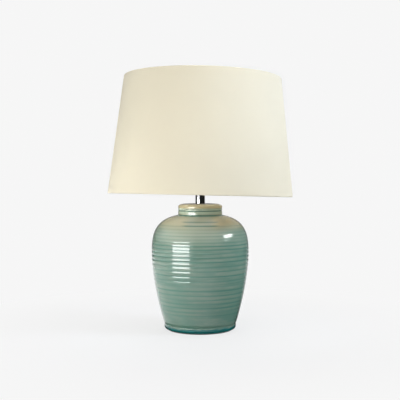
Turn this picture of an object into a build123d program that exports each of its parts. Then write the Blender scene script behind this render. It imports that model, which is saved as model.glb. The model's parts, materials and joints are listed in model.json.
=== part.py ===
from build123d import *
import os
from math import atan, cos, pi, radians, sin, tan

# Ginger jar table lamp: a ribbed stoneware jar, a chrome stem, a push-bar screw lampholder with
# its bulb, and a tapered fabric shade on a wire spider. Millimetres, +Z up, the front towards -Y,
# the origin at the middle of the felt pad's underside.

os.makedirs("parts", exist_ok=True)

# ---------------------------------------------------------------- driving dimensions
# Felt pad and the jar's foot
pad_thickness = 1.5
pad_margin = 1.0                # the felt stops this far inside the foot's edge
foot_edge_radius = 62.8
foot_bevel_height = 5.0         # rounded, from the edge it stands on up to the band
foot_band_radius = 68.0
foot_band_height = 4.7
foot_notch_depth = 0.6
foot_notch_height = 1.6
foot_hole_radius = 30.0
foot_floor_thickness = 8.0
cavity_steps = 8                # straight stretches of the cavity's wall, shorter at the shoulder

# Jar body, heights above its foot
jar_height = 237.0
jar_wall = 7.0
belly_radius = 92.2
belly_height = 139.1
shoulder_squareness = 3.17      # 2 would be an ellipse
waist_radius = 68.6             # where the body meets the foot band
taper_power = 1.64

# Throwing rings: shallow grooves that lie closer towards the shoulder and wander a little
ring_count = 24
ring_depth = 0.8
ring_crowding = 0.13
ring_wander = 3.6
ring_wander_turns = 1.29
ring_wander_start = 0.28
shoulder_band = 6.7             # plain band above the first ring
plain_foot = 23.1               # plain stretch below the last ring

# Jar neck
neck_radius = 41.8
neck_height = 21.5
neck_top_thickness = 8.0
neck_edge_radius = 5.0          # upright radius of the rolled lip
neck_lip_width = 12.0           # its level radius
neck_fillet_radius = 2.5
neck_groove_drop = 12.9         # below the top of the neck
neck_groove_depth = 0.6
neck_groove_height = 1.6

# Cable hole at the back of the foot, square to the wall
cable_hole_height = 21.0
grommet_bore_radius = 3.2
grommet_body_radius = 6.0
grommet_flange_radius = 8.5
grommet_flange_thickness = 2.0
grommet_seat_margin = 0.3
grommet_tail = 1.5

# Stem: a hollow threaded rod inside a chrome tube
rod_radius = 5.0
rod_bore_radius = 3.6
rod_tail = 4.0
rod_hole_clearance = 0.4
tube_radius = 9.0
tube_wall = 1.0
tube_length = 18.2
seat_washer_radius = 8.8
seat_washer_thickness = 0.8
inner_washer_radius = 14.0
inner_washer_thickness = 1.5
nut_width = 17.0
nut_thickness = 5.0

# Lampholder cap with the switch
cap_radius = 19.5
cap_base_radius = 12.0
cap_shoulder_height = 7.0
cap_height = 27.0
cap_floor_thickness = 9.0
cap_wall = 2.0
cap_thread_radius = 18.0
cap_thread_height = 6.0
lock_screw_radius = 1.5
lock_screw_length = 8.0
lock_screw_slot = 0.6
bar_length = 51.0
bar_width = 8.0
bar_height = 5.0
bar_clearance = 0.15
bar_travel = 7.0
bar_floor_gap = 1.2
bar_corner_radius = 1.8
bar_contact_length = 9.5
bar_contact_width = 4.0
bar_contact_thickness = 0.8
contact_gap = 0.1
fixed_contact_radius = 1.6
fixed_contact_spacing = 7.0

# Lampholder insert and skirt
insert_flange_radius = 17.9
insert_flange_thickness = 2.5
insert_drop = 4.0
insert_floor_height = 6.0       # contact floor above the cap's rim
insert_cup_wall = 2.4
terminal_screw_radius = 2.0
terminal_screw_offset = 11.0
shell_radius = 14.2
shell_wall = 0.4
shell_height = 26.0
centre_contact_radius = 3.5
centre_contact_height = 3.0
skirt_grip_radius = 21.0
skirt_thread_radius = 19.6
skirt_bore_clearance = 0.4
skirt_lip_radius = 15.0
skirt_lip_thickness = 2.5
skirt_top_gap = 2.0
seat_flange_radius = 23.8
seat_flange_thickness = 2.8
seat_height = 34.3              # gallery seat above the bottom of the lampholder

# Threaded ring that keeps the gallery on its seat
shade_ring_radius = 24.0
shade_ring_grip_radius = 22.6
shade_ring_flange = 2.0
shade_ring_height = 8.0
shade_ring_clearance = 0.05
grip_notch_count = 12
grip_notch_radius = 0.9

# Bulb
bulb_length = 108.0
bulb_radius = 30.0
bulb_glass_wall = 1.0
bulb_cap_radius = 13.3
bulb_cap_wall = 0.4
bulb_cap_length = 27.0
bulb_neck_radius = 13.0
bulb_neck_height = 5.0
bulb_contact_radius = 4.75
bulb_contact_thickness = 1.5
bulb_insulator_height = 3.5
bulb_contact_gap = 0.05

# Shade, measured along its own leaning axis
shade_height = 222.6
shade_bottom_radius = 175.0
shade_top_radius = 149.0
fabric_thickness = 0.6
liner_thickness = 0.8
hoop_wire_radius = 1.75
hoop_clearance = 0.1
hem_height = 8.0
hem_roll_radius = 1.4
gallery_recess = 38.0           # gallery above the bottom rim
gallery_hole_radius = 21.0
gallery_radius = 27.0
gallery_thickness = 1.6
gallery_gap = 0.1
arm_wire_radius = 1.5
arm_count = 3
arm_start_azimuth = 90.0
arm_shelf = 9.0
arm_bend_radius = 14.0
shade_lean = 1.73               # degrees that the shade tips on its seat
shade_lean_azimuth = 45.0

# ---------------------------------------------------------------- levels and shared forms
foot_z = pad_thickness
band_top_z = foot_z + foot_bevel_height + foot_band_height
body_start_z = band_top_z + foot_notch_height
belly_z = foot_z + belly_height
neck_top_z = foot_z + jar_height
neck_base_z = neck_top_z - neck_height
# The shoulder's curve would close this far above the belly; it passes through the neck's base.
neck_share = (neck_radius / belly_radius) ** shoulder_squareness
shoulder_rise = (neck_base_z - belly_z) / (1 - neck_share) ** (1 / shoulder_squareness)


def jar_radius(z, inset=0.0):
    """Smooth outer radius of the jar's body at height z, drawn in by inset."""
    reach = belly_radius - inset
    if z >= belly_z:
        rise = (z - belly_z) / (shoulder_rise - inset)
        return reach * (1 - rise**shoulder_squareness) ** (1 / shoulder_squareness)
    fall = (belly_z - z) / (belly_z - body_start_z)
    return reach - (belly_radius - waist_radius) * fall**taper_power


def shoulder_z(radius, inset=0.0):
    """Height at which the shoulder has the given radius."""
    share = (radius / (belly_radius - inset)) ** shoulder_squareness
    return belly_z + (shoulder_rise - inset) * (1 - share) ** (1 / shoulder_squareness)


ceiling_z = neck_top_z - neck_top_thickness
holder_z = neck_top_z + seat_washer_thickness + tube_length
cap_floor_z = holder_z + cap_floor_thickness
cap_rim_z = holder_z + cap_height
contact_floor_z = cap_rim_z + insert_floor_height
shell_top_z = contact_floor_z + shell_height
skirt_top_z = shell_top_z + skirt_top_gap + skirt_lip_thickness
seat_z = holder_z + seat_height
bar_z = cap_floor_z + bar_floor_gap + bar_height / 2
bulb_z = contact_floor_z + centre_contact_height + bulb_contact_gap
top_groove_z = neck_base_z - shoulder_band
bottom_groove_z = body_start_z + plain_foot


def ring_z(index):
    """Height of one throwing ring, counted from the shoulder down."""
    along = index / (ring_count - 1)
    fall = (1 - ring_crowding) * along + ring_crowding * along**2
    wander = ring_wander * sin(2 * pi * (ring_wander_turns * along - ring_wander_start))
    return top_groove_z - (top_groove_z - bottom_groove_z) * fall + wander


# ---------------------------------------------------------------- base pad
with BuildPart() as base_pad:
    Cylinder(foot_edge_radius - pad_margin, pad_thickness, align=(Align.CENTER, Align.CENTER, Align.MIN))
base_pad.part.label = "base_pad"


def groove_point(index):
    """Deepest point of one throwing ring in the jar's outline."""
    height = ring_z(index)
    return (jar_radius(height) - ring_depth, height)


def wall_point(height):
    """Point of the jar's smooth outer wall in its outline."""
    return (jar_radius(height), height)


# ---------------------------------------------------------------- jar
# The outline runs up the outside from the rounded foot to the rolled lip of the neck, and down the
# cavity. Between two grooves a round ridge swells out to the smooth wall.
foot_edge = (foot_edge_radius, foot_z)
foot_outline = [
    (foot_band_radius, foot_z + foot_bevel_height),
    (foot_band_radius, band_top_z),
    (foot_band_radius - foot_notch_depth, band_top_z + foot_notch_height / 2),
    (waist_radius, body_start_z),
]
plain_z = (body_start_z + ring_z(ring_count - 1)) / 2
band_z = (ring_z(0) + neck_base_z) / 2
band_edge_z = (band_z + neck_base_z) / 2
neck_groove_z = neck_top_z - neck_groove_drop
lip_z = neck_top_z - neck_edge_radius
neck_outline = [
    (neck_radius, neck_base_z),
    (neck_radius, neck_groove_z - neck_groove_height / 2),
    (neck_radius - neck_groove_depth, neck_groove_z),
    (neck_radius, neck_groove_z + neck_groove_height / 2),
    (neck_radius, lip_z),
]
rod_hole_radius = rod_radius + rod_hole_clearance
cavity_neck_radius = neck_radius - jar_wall
cavity_shoulder_z = shoulder_z(cavity_neck_radius, jar_wall)
cavity_floor_z = foot_z + foot_floor_thickness
cavity_outline = [
    (neck_radius - neck_lip_width, neck_top_z),
    (rod_hole_radius, neck_top_z),
    (rod_hole_radius, ceiling_z),
    (cavity_neck_radius, ceiling_z),
    (cavity_neck_radius, cavity_shoulder_z),
]
for step in range(1, cavity_steps):
    wall_z = cavity_shoulder_z - (cavity_shoulder_z - cavity_floor_z) * (step / cavity_steps) ** 2
    cavity_outline.append((jar_radius(wall_z, jar_wall), wall_z))
cavity_foot_radius = min(foot_band_radius, waist_radius) - jar_wall
cavity_outline.append((cavity_foot_radius, cavity_floor_z))
cavity_outline.append((foot_hole_radius, cavity_floor_z))
cavity_outline.append((foot_hole_radius, foot_z))
cavity_outline.append(foot_edge)

# The cable hole is drilled square to the wall, with a flat seat for the grommet's flange.
cable_z = foot_z + cable_hole_height
cable_wall_radius = jar_radius(cable_z)
wall_probe = foot_notch_height
wall_slope = atan((jar_radius(cable_z + wall_probe) - jar_radius(cable_z - wall_probe)) / (2 * wall_probe))
grommet_seat_depth = grommet_flange_radius**2 / (2 * cable_wall_radius) + grommet_seat_margin
cable_plane = Plane(
    origin=(0, cable_wall_radius, cable_z),
    x_dir=(1, 0, 0),
    z_dir=(0, cos(wall_slope), -sin(wall_slope)),
)
grommet_seat = cable_plane.offset(-grommet_seat_depth)

with BuildPart() as jar:
    with BuildSketch(Plane.XZ):
        with BuildLine():
            TangentArc(foot_edge, foot_outline[0], tangent=(1, 0))
            Polyline(*foot_outline)
            ThreePointArc(foot_outline[-1], wall_point(plain_z), groove_point(ring_count - 1))
            for ring in range(ring_count - 1, 0, -1):
                crest_z = (ring_z(ring) + ring_z(ring - 1)) / 2
                ThreePointArc(groove_point(ring), wall_point(crest_z), groove_point(ring - 1))
            Spline(groove_point(0), wall_point(band_z), wall_point(band_edge_z), neck_outline[0])
            Polyline(*neck_outline)
            EllipticalCenterArc(
                (neck_radius - neck_lip_width, lip_z), neck_lip_width, neck_edge_radius, arc_size=90
            )
            Polyline(*cavity_outline)
        make_face()
    revolve(axis=Axis.Z)
    neck_base_edges = jar.edges().filter_by(GeomType.CIRCLE).filter_by_position(
        Axis.Z, neck_base_z - neck_groove_depth, neck_base_z + neck_groove_depth
    )
    fillet(neck_base_edges.sort_by(SortBy.RADIUS)[-1], neck_fillet_radius)
    with BuildSketch(grommet_seat):
        Circle(grommet_flange_radius + grommet_seat_margin)
    extrude(amount=jar_wall, mode=Mode.SUBTRACT)
    with BuildSketch(grommet_seat):
        Circle(grommet_body_radius)
    extrude(amount=-2 * jar_wall, mode=Mode.SUBTRACT)
jar.part.label = "jar"

# ---------------------------------------------------------------- cable grommet
with BuildPart() as cable_grommet:
    with BuildSketch(grommet_seat):
        Circle(grommet_flange_radius)
    extrude(amount=grommet_flange_thickness)
    flange_rim = cable_grommet.edges().sort_by(Axis(grommet_seat.origin, grommet_seat.z_dir))[-1]
    chamfer(flange_rim, grommet_flange_thickness / 2)
    with BuildSketch(grommet_seat):
        Circle(grommet_body_radius)
    extrude(amount=-(jar_wall + grommet_tail))
    with BuildSketch(grommet_seat.offset(grommet_flange_thickness)):
        Circle(grommet_bore_radius)
    extrude(amount=-(grommet_flange_thickness + jar_wall + grommet_tail), mode=Mode.SUBTRACT)
cable_grommet.part.label = "cable_grommet"

# ---------------------------------------------------------------- stem
nut_top_z = ceiling_z - inner_washer_thickness
with BuildPart() as inner_washer:
    with BuildSketch(Plane.XY.offset(nut_top_z)):
        Circle(inner_washer_radius)
        Circle(rod_hole_radius, mode=Mode.SUBTRACT)
    extrude(amount=inner_washer_thickness)
inner_washer.part.label = "inner_washer"

with BuildPart() as inner_nut:
    with BuildSketch(Plane.XY.offset(nut_top_z)):
        RegularPolygon(nut_width / 2, 6, major_radius=False)
        Circle(rod_radius, mode=Mode.SUBTRACT)
    extrude(amount=-nut_thickness)
inner_nut.part.label = "inner_nut"

rod_bottom_z = nut_top_z - nut_thickness - rod_tail
with BuildPart() as stem_rod:
    with BuildSketch(Plane.XY.offset(rod_bottom_z)):
        Circle(rod_radius)
        Circle(rod_bore_radius, mode=Mode.SUBTRACT)
    extrude(amount=cap_floor_z - rod_bottom_z)
stem_rod.part.label = "stem_rod"

with BuildPart() as seat_washer:
    with BuildSketch(Plane.XY.offset(neck_top_z)):
        Circle(seat_washer_radius)
        Circle(rod_hole_radius, mode=Mode.SUBTRACT)
    extrude(amount=seat_washer_thickness)
seat_washer.part.label = "seat_washer"

with BuildPart() as stem_tube:
    with BuildSketch(Plane.XY.offset(neck_top_z + seat_washer_thickness)):
        Circle(tube_radius)
        Circle(tube_radius - tube_wall, mode=Mode.SUBTRACT)
    extrude(amount=tube_length)
stem_tube.part.label = "stem_tube"

# ---------------------------------------------------------------- lampholder cap
# A moulded cup: the floor takes the rod, two windows take the push bar, the rim has the thread.
cap_bore_radius = cap_thread_radius - cap_wall
with BuildPart() as holder_cap:
    with BuildSketch(Plane.XZ):
        with BuildLine():
            Polyline(
                (rod_radius, holder_z),
                (cap_base_radius, holder_z),
                (cap_radius, holder_z + cap_shoulder_height),
                (cap_radius, cap_rim_z - cap_thread_height),
                (cap_thread_radius, cap_rim_z - cap_thread_height),
                (cap_thread_radius, cap_rim_z),
                (cap_bore_radius, cap_rim_z),
                (cap_bore_radius, cap_floor_z),
                (rod_radius, cap_floor_z),
                close=True,
            )
        make_face()
    revolve(axis=Axis.Z)
    with BuildSketch(Plane.YZ.offset(-cap_radius)):
        with Locations((0, bar_z)):
            RectangleRounded(
                bar_width + 2 * bar_clearance,
                bar_height + 2 * bar_clearance,
                bar_corner_radius + bar_clearance,
            )
    extrude(amount=2 * cap_radius, mode=Mode.SUBTRACT)
    with BuildSketch(Plane.XZ.offset(-rod_radius)):
        with Locations((0, holder_z + cap_floor_thickness / 2)):
            Circle(lock_screw_radius)
    extrude(amount=-cap_radius, mode=Mode.SUBTRACT)
holder_cap.part.label = "holder_cap"

with BuildPart() as cap_lock_screw:
    with BuildSketch(Plane.XZ.offset(-rod_radius)):
        with Locations((0, holder_z + cap_floor_thickness / 2)):
            Circle(lock_screw_radius)
    extrude(amount=-lock_screw_length)
    with BuildSketch(Plane.XZ.offset(-rod_radius - lock_screw_length)):
        with Locations((0, holder_z + cap_floor_thickness / 2)):
            Rectangle(3 * lock_screw_radius, lock_screw_slot)
    extrude(amount=lock_screw_slot, mode=Mode.SUBTRACT)
cap_lock_screw.part.label = "cap_lock_screw"

# ---------------------------------------------------------------- push-bar switch
# At rest the bar stands out on the left; pushed in by its travel, it stands out on the right.
bar_start_x = -(bar_length + bar_travel) / 2
bar_centre_x = bar_start_x + bar_length / 2
with BuildPart() as switch_bar:
    with BuildSketch(Plane.YZ.offset(bar_start_x)):
        with Locations((0, bar_z)):
            RectangleRounded(bar_width, bar_height, bar_corner_radius)
    extrude(amount=bar_length)
    bar_ends = switch_bar.faces().filter_by(Axis.X)
    chamfer(bar_ends.edges(), bar_corner_radius / 2)
switch_bar.part.label = "switch_bar"

contact_z = bar_z + bar_height / 2
with BuildPart() as switch_contact:
    with BuildSketch(Plane.XY.offset(contact_z)):
        with Locations((bar_centre_x, 0)):
            Rectangle(bar_contact_length, bar_contact_width)
    extrude(amount=bar_contact_thickness)
    fillet(switch_contact.edges().filter_by(Axis.Z), bar_contact_width / 5)
switch_contact.part.label = "switch_contact"

stud_z = contact_z + bar_contact_thickness + contact_gap
insert_bottom_z = cap_rim_z - insert_drop
with BuildPart() as fixed_contacts:
    with BuildSketch(Plane.XY.offset(stud_z)):
        with Locations((0, 0), (fixed_contact_spacing, 0)):
            Circle(fixed_contact_radius)
    extrude(amount=insert_bottom_z - stud_z)
fixed_contacts.part.label = "fixed_contacts"

# ---------------------------------------------------------------- lampholder insert
insert_cup_radius = shell_radius + insert_cup_wall
with BuildPart() as holder_insert:
    with BuildSketch(Plane.XZ):
        with BuildLine():
            Polyline(
                (0, insert_bottom_z),
                (cap_bore_radius, insert_bottom_z),
                (cap_bore_radius, cap_rim_z),
                (insert_flange_radius, cap_rim_z),
                (insert_flange_radius, cap_rim_z + insert_flange_thickness),
                (insert_cup_radius, cap_rim_z + insert_flange_thickness),
                (insert_cup_radius, shell_top_z),
                (shell_radius, shell_top_z),
                (shell_radius, contact_floor_z),
                (0, contact_floor_z),
                close=True,
            )
        make_face()
    revolve(axis=Axis.Z)
    with BuildSketch(Plane.XY.offset(insert_bottom_z)):
        with Locations((0, terminal_screw_offset), (0, -terminal_screw_offset)):
            Circle(terminal_screw_radius)
    extrude(amount=insert_drop, mode=Mode.SUBTRACT)
holder_insert.part.label = "holder_insert"

with BuildPart() as terminal_screws:
    with BuildSketch(Plane.XY.offset(insert_bottom_z)):
        with Locations((0, terminal_screw_offset), (0, -terminal_screw_offset)):
            Circle(terminal_screw_radius)
    extrude(amount=insert_drop)
    with BuildSketch(Plane.XY.offset(insert_bottom_z)):
        with Locations((0, terminal_screw_offset), (0, -terminal_screw_offset)):
            Rectangle(3 * terminal_screw_radius, lock_screw_slot)
    extrude(amount=lock_screw_slot, mode=Mode.SUBTRACT)
terminal_screws.part.label = "terminal_screws"

with BuildPart() as centre_contact:
    with BuildSketch(Plane.XY.offset(contact_floor_z)):
        Circle(centre_contact_radius)
    extrude(amount=centre_contact_height)
    chamfer(centre_contact.edges().sort_by(Axis.Z)[-1], centre_contact_height / 4)
centre_contact.part.label = "centre_contact"

with BuildPart() as screw_shell:
    with BuildSketch(Plane.XY.offset(contact_floor_z)):
        Circle(shell_radius)
        Circle(shell_radius - shell_wall, mode=Mode.SUBTRACT)
    extrude(amount=shell_height)
screw_shell.part.label = "screw_shell"

# ---------------------------------------------------------------- lampholder skirt
# It screws onto the cap, clamps the insert's flange, and carries the gallery seat and the thread.
skirt_bore_radius = insert_cup_radius + skirt_bore_clearance
skirt_bottom_z = cap_rim_z - cap_thread_height
clamp_z = cap_rim_z + insert_flange_thickness
with BuildPart() as holder_skirt:
    with BuildSketch(Plane.XZ):
        with BuildLine():
            Polyline(
                (cap_thread_radius, skirt_bottom_z),
                (skirt_grip_radius, skirt_bottom_z),
                (skirt_grip_radius, seat_z - seat_flange_thickness),
                (seat_flange_radius, seat_z - seat_flange_thickness),
                (seat_flange_radius, seat_z),
                (skirt_thread_radius, seat_z),
                (skirt_thread_radius, skirt_top_z),
                (skirt_lip_radius, skirt_top_z),
                (skirt_lip_radius, skirt_top_z - skirt_lip_thickness),
                (skirt_bore_radius, skirt_top_z - skirt_lip_thickness),
                (skirt_bore_radius, clamp_z),
                (cap_thread_radius, clamp_z),
                close=True,
            )
        make_face()
    revolve(axis=Axis.Z)
    chamfer(holder_skirt.edges().group_by(Axis.Z)[-1].sort_by(SortBy.RADIUS)[-1], skirt_lip_thickness / 3)
holder_skirt.part.label = "holder_skirt"

# ---------------------------------------------------------------- bulb
cap_top_z = bulb_z + bulb_cap_length
insulator_z = bulb_z + bulb_contact_thickness
cap_start_z = insulator_z + bulb_insulator_height
globe_z = bulb_z + bulb_length - bulb_radius

with BuildPart() as bulb_contact:
    with BuildSketch(Plane.XY.offset(bulb_z)):
        Circle(bulb_contact_radius)
    extrude(amount=bulb_contact_thickness)
    chamfer(bulb_contact.edges().sort_by(Axis.Z)[0], bulb_contact_thickness / 2)
bulb_contact.part.label = "bulb_contact"

with BuildPart() as bulb_insulator:
    with BuildSketch(Plane.XZ):
        with BuildLine():
            Polyline(
                (0, insulator_z),
                (bulb_contact_radius, insulator_z),
                (bulb_cap_radius - bulb_cap_wall, cap_start_z),
                (0, cap_start_z),
                close=True,
            )
        make_face()
    revolve(axis=Axis.Z)
bulb_insulator.part.label = "bulb_insulator"

with BuildPart() as bulb_cap:
    with BuildSketch(Plane.XY.offset(cap_start_z)):
        Circle(bulb_cap_radius)
        Circle(bulb_cap_radius - bulb_cap_wall, mode=Mode.SUBTRACT)
    extrude(amount=cap_top_z - cap_start_z)
bulb_cap.part.label = "bulb_cap"


# A straight neck, a swelling flank and a round crown, blown to one thickness all over.
inner_neck_radius = bulb_neck_radius - bulb_glass_wall
inner_crown_radius = bulb_radius - bulb_glass_wall
flank_z = cap_top_z + bulb_neck_height
with BuildPart() as bulb_glass:
    with BuildSketch(Plane.XZ):
        with BuildLine():
            neck = Line((bulb_neck_radius, cap_top_z), (bulb_neck_radius, flank_z))
            flank = Spline(neck @ 1, (bulb_radius, globe_z), tangents=[(0, 1), (0, 1)])
            crown = RadiusArc(flank @ 1, (0, globe_z + bulb_radius), -bulb_radius)
            Line(crown @ 1, (0, globe_z + inner_crown_radius))
            inner_top = (0, globe_z + inner_crown_radius)
            inner_crown = RadiusArc(inner_top, (inner_crown_radius, globe_z), inner_crown_radius)
            inner_neck = (inner_neck_radius, flank_z)
            inner_flank = Spline(inner_crown @ 1, inner_neck, tangents=[(0, -1), (0, -1)])
            Polyline(inner_flank @ 1, (inner_neck_radius, cap_top_z), neck @ 0)
        make_face()
    revolve(axis=Axis.Z)
bulb_glass.part.label = "bulb_glass"

# ---------------------------------------------------------------- shade frame of reference
# The ring is done up loosely, so the gallery tips between its seat and the ring and slides over
# until it meets the skirt: the whole shade leans about the gallery's centre.
lean = radians(shade_lean)
lean_azimuth = radians(shade_lean_azimuth)
shade_shift = gallery_recess * sin(lean)
lean_x = sin(lean) * cos(lean_azimuth)
lean_y = sin(lean) * sin(lean_azimuth)
gallery_z = seat_z + gallery_gap + seat_flange_radius * tan(lean)
shade_plane = Plane(
    origin=(shade_shift * cos(lean_azimuth), shade_shift * sin(lean_azimuth), gallery_z),
    x_dir=(cos(lean), 0, -lean_x),
    z_dir=(lean_x, lean_y, cos(lean)),
)
shade_axis = Axis(shade_plane.origin, shade_plane.z_dir)
shade_section = Plane(shade_plane.origin, x_dir=shade_plane.x_dir, z_dir=-shade_plane.y_dir)
bottom_h = -gallery_recess
top_h = bottom_h + shade_height
taper = (shade_bottom_radius - shade_top_radius) / shade_height

# ---------------------------------------------------------------- threaded shade ring
shade_ring_z = gallery_z + gallery_thickness + (shade_ring_radius + shade_shift) * tan(lean) + gallery_gap
with BuildPart() as shade_ring:
    with BuildSketch(Plane.XY.offset(shade_ring_z)):
        Circle(shade_ring_radius)
    extrude(amount=shade_ring_flange)
    with BuildSketch(Plane.XY.offset(shade_ring_z)):
        Circle(shade_ring_grip_radius)
        with PolarLocations(shade_ring_grip_radius, grip_notch_count):
            Circle(grip_notch_radius, mode=Mode.SUBTRACT)
    extrude(amount=shade_ring_height)
    with BuildSketch(Plane.XY.offset(shade_ring_z)):
        Circle(skirt_thread_radius + shade_ring_clearance)
    extrude(amount=shade_ring_height, mode=Mode.SUBTRACT)
shade_ring.part.label = "shade_ring"

# ---------------------------------------------------------------- hoops of the shade
hoop_inset = fabric_thickness + hoop_wire_radius
skin_thickness = (fabric_thickness + liner_thickness) / cos(atan(taper))
hoop_depth = skin_thickness + hoop_wire_radius / cos(atan(taper)) + hoop_clearance
bottom_hoop_radius = shade_bottom_radius - taper * hoop_inset - hoop_depth
top_hoop_radius = shade_top_radius + taper * hoop_inset - hoop_depth

with BuildPart() as bottom_ring:
    with BuildSketch(shade_section):
        with Locations((bottom_hoop_radius, bottom_h + hoop_inset)):
            Circle(hoop_wire_radius)
    revolve(axis=shade_axis)
bottom_ring.part.label = "bottom_ring"

with BuildPart() as top_ring:
    with BuildSketch(shade_section):
        with Locations((top_hoop_radius, top_h - hoop_inset)):
            Circle(hoop_wire_radius)
    revolve(axis=shade_axis)
top_ring.part.label = "top_ring"

# ---------------------------------------------------------------- gallery and spider
with BuildPart() as gallery_ring:
    with BuildSketch(shade_plane):
        Circle(gallery_radius)
        Circle(gallery_hole_radius, mode=Mode.SUBTRACT)
    extrude(amount=gallery_thickness)
gallery_ring.part.label = "gallery_ring"

with BuildPart() as spider_arms:
    for arm in range(arm_count):
        arm_azimuth = radians(arm_start_azimuth + arm * 360 / arm_count)
        outward = shade_plane.x_dir * cos(arm_azimuth) + shade_plane.y_dir * sin(arm_azimuth)
        arm_section = Plane(shade_plane.origin, x_dir=outward, z_dir=outward.cross(shade_plane.z_dir))
        with BuildLine(arm_section) as arm_path:
            FilletPolyline(
                (gallery_radius - gallery_thickness / 2, gallery_thickness / 2),
                (gallery_radius + arm_shelf, gallery_thickness / 2),
                (bottom_hoop_radius, bottom_h + hoop_inset),
                radius=arm_bend_radius,
            )
        with BuildSketch(Plane(origin=arm_path.line @ 0, z_dir=arm_path.line % 0)):
            Circle(arm_wire_radius)
        sweep(path=arm_path.line)
    add(gallery_ring.part, mode=Mode.SUBTRACT)
    add(bottom_ring.part, mode=Mode.SUBTRACT)
spider_arms.part.label = "spider_arms"

# ---------------------------------------------------------------- liner and fabric
liner_outline = [
    (shade_bottom_radius - (1 + taper) * fabric_thickness, bottom_h + fabric_thickness),
    (shade_top_radius - (1 - taper) * fabric_thickness, top_h - fabric_thickness),
    (shade_top_radius - (1 - taper) * fabric_thickness - liner_thickness, top_h - fabric_thickness),
    (shade_bottom_radius - (1 + taper) * fabric_thickness - liner_thickness, bottom_h + fabric_thickness),
]
with BuildPart() as shade_liner:
    with BuildSketch(shade_section):
        with BuildLine():
            Polyline(*liner_outline, close=True)
        make_face()
    revolve(axis=shade_axis)
shade_liner.part.label = "shade_liner"

# The cloth covers the liner and is turned over both hoops, with a hem behind them.
bottom_hem_radius = bottom_hoop_radius - hoop_wire_radius - hoop_clearance
top_hem_radius = top_hoop_radius - hoop_wire_radius - hoop_clearance
with BuildPart() as shade_fabric:
    with BuildSketch(shade_section):
        with BuildLine():
            Polyline(
                (shade_bottom_radius, bottom_h),
                (shade_top_radius, top_h),
                (top_hem_radius - fabric_thickness, top_h),
                (top_hem_radius - fabric_thickness, top_h - hem_height),
                (top_hem_radius, top_h - hem_height),
                (top_hem_radius, top_h - fabric_thickness),
                liner_outline[1],
                liner_outline[0],
                (bottom_hem_radius, bottom_h + fabric_thickness),
                (bottom_hem_radius, bottom_h + hem_height),
                (bottom_hem_radius - fabric_thickness, bottom_h + hem_height),
                (bottom_hem_radius - fabric_thickness, bottom_h),
                close=True,
            )
        make_face()
    revolve(axis=shade_axis)
    rims = shade_fabric.faces().sort_by(shade_axis)
    outer_edges = [rim.edges().sort_by(SortBy.RADIUS)[-1] for rim in (rims[0], rims[-1])]
    fillet(outer_edges, hem_roll_radius)
    add(spider_arms.part, mode=Mode.SUBTRACT)
shade_fabric.part.label = "shade_fabric"

# ---------------------------------------------------------------- files
pieces = [
    base_pad, jar, cable_grommet, inner_washer, inner_nut, stem_rod, seat_washer, stem_tube,
    holder_cap, cap_lock_screw, switch_bar, switch_contact, fixed_contacts, holder_insert,
    terminal_screws, centre_contact, screw_shell, holder_skirt, bulb_contact, bulb_insulator,
    bulb_cap, bulb_glass, shade_ring, bottom_ring, top_ring, gallery_ring, spider_arms,
    shade_liner, shade_fabric,
]
for piece in pieces:
    export_step(piece.part, f"parts/{piece.part.label}.step")
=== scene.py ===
import json
import math

import bpy
from mathutils import Matrix, Vector


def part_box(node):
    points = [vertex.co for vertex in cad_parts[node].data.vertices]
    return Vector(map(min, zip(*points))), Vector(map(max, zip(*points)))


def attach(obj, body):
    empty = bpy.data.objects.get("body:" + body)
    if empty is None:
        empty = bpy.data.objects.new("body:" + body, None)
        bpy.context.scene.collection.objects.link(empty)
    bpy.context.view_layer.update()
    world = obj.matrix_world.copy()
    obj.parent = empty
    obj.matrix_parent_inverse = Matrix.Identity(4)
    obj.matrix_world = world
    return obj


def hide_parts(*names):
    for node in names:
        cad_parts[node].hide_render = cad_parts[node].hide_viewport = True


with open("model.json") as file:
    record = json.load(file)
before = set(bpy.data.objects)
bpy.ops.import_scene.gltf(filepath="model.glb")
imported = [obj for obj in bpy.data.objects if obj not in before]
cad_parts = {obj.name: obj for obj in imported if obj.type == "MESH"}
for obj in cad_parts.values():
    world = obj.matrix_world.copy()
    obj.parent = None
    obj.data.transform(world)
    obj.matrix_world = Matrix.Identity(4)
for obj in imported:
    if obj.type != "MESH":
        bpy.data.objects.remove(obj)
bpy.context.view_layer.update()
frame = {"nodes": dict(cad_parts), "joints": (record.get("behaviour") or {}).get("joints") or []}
nodes = frame["nodes"]

# ---------------------------------------------------------------- felt pad
# A disc of dark wool felt, cut with a die and glued under the jar's foot so that the glaze does
# not scratch the table. Only its rim shows, as a thin dark line.
FELT_COLOUR = (0.012, 0.016, 0.015)


def new_finish(name, colour, roughness):
    """A finish of one plain body colour, ready for its own pattern."""
    finish = bpy.data.materials.new(name)
    finish.use_nodes = True
    shader = finish.node_tree.nodes["Principled BSDF"]
    shader.inputs["Base Color"].default_value = (*colour, 1)
    shader.inputs["Roughness"].default_value = roughness
    return finish, finish.node_tree, shader


def add_node(tree, kind, **settings):
    """A shader node with its fields and its unlinked sockets set by name."""
    node = tree.nodes.new(kind)
    for field, value in settings.items():
        if hasattr(node, field):
            setattr(node, field, value)
        else:
            node.inputs[field.replace("_", " ")].default_value = value
    return node


def add_noise(tree, scale, detail=2.0, coordinate="Object", stretch=(1, 1, 1)):
    """Fine noise laid on the piece itself, drawn out along an axis where stretch is small."""
    place = tree.nodes.new("ShaderNodeTexCoord")
    mapping = add_node(tree, "ShaderNodeMapping", Scale=stretch)
    noise = add_node(tree, "ShaderNodeTexNoise", Scale=scale, Detail=detail)
    tree.links.new(place.outputs[coordinate], mapping.inputs["Vector"])
    tree.links.new(mapping.outputs["Vector"], noise.inputs["Vector"])
    return noise.outputs["Fac"]


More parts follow.
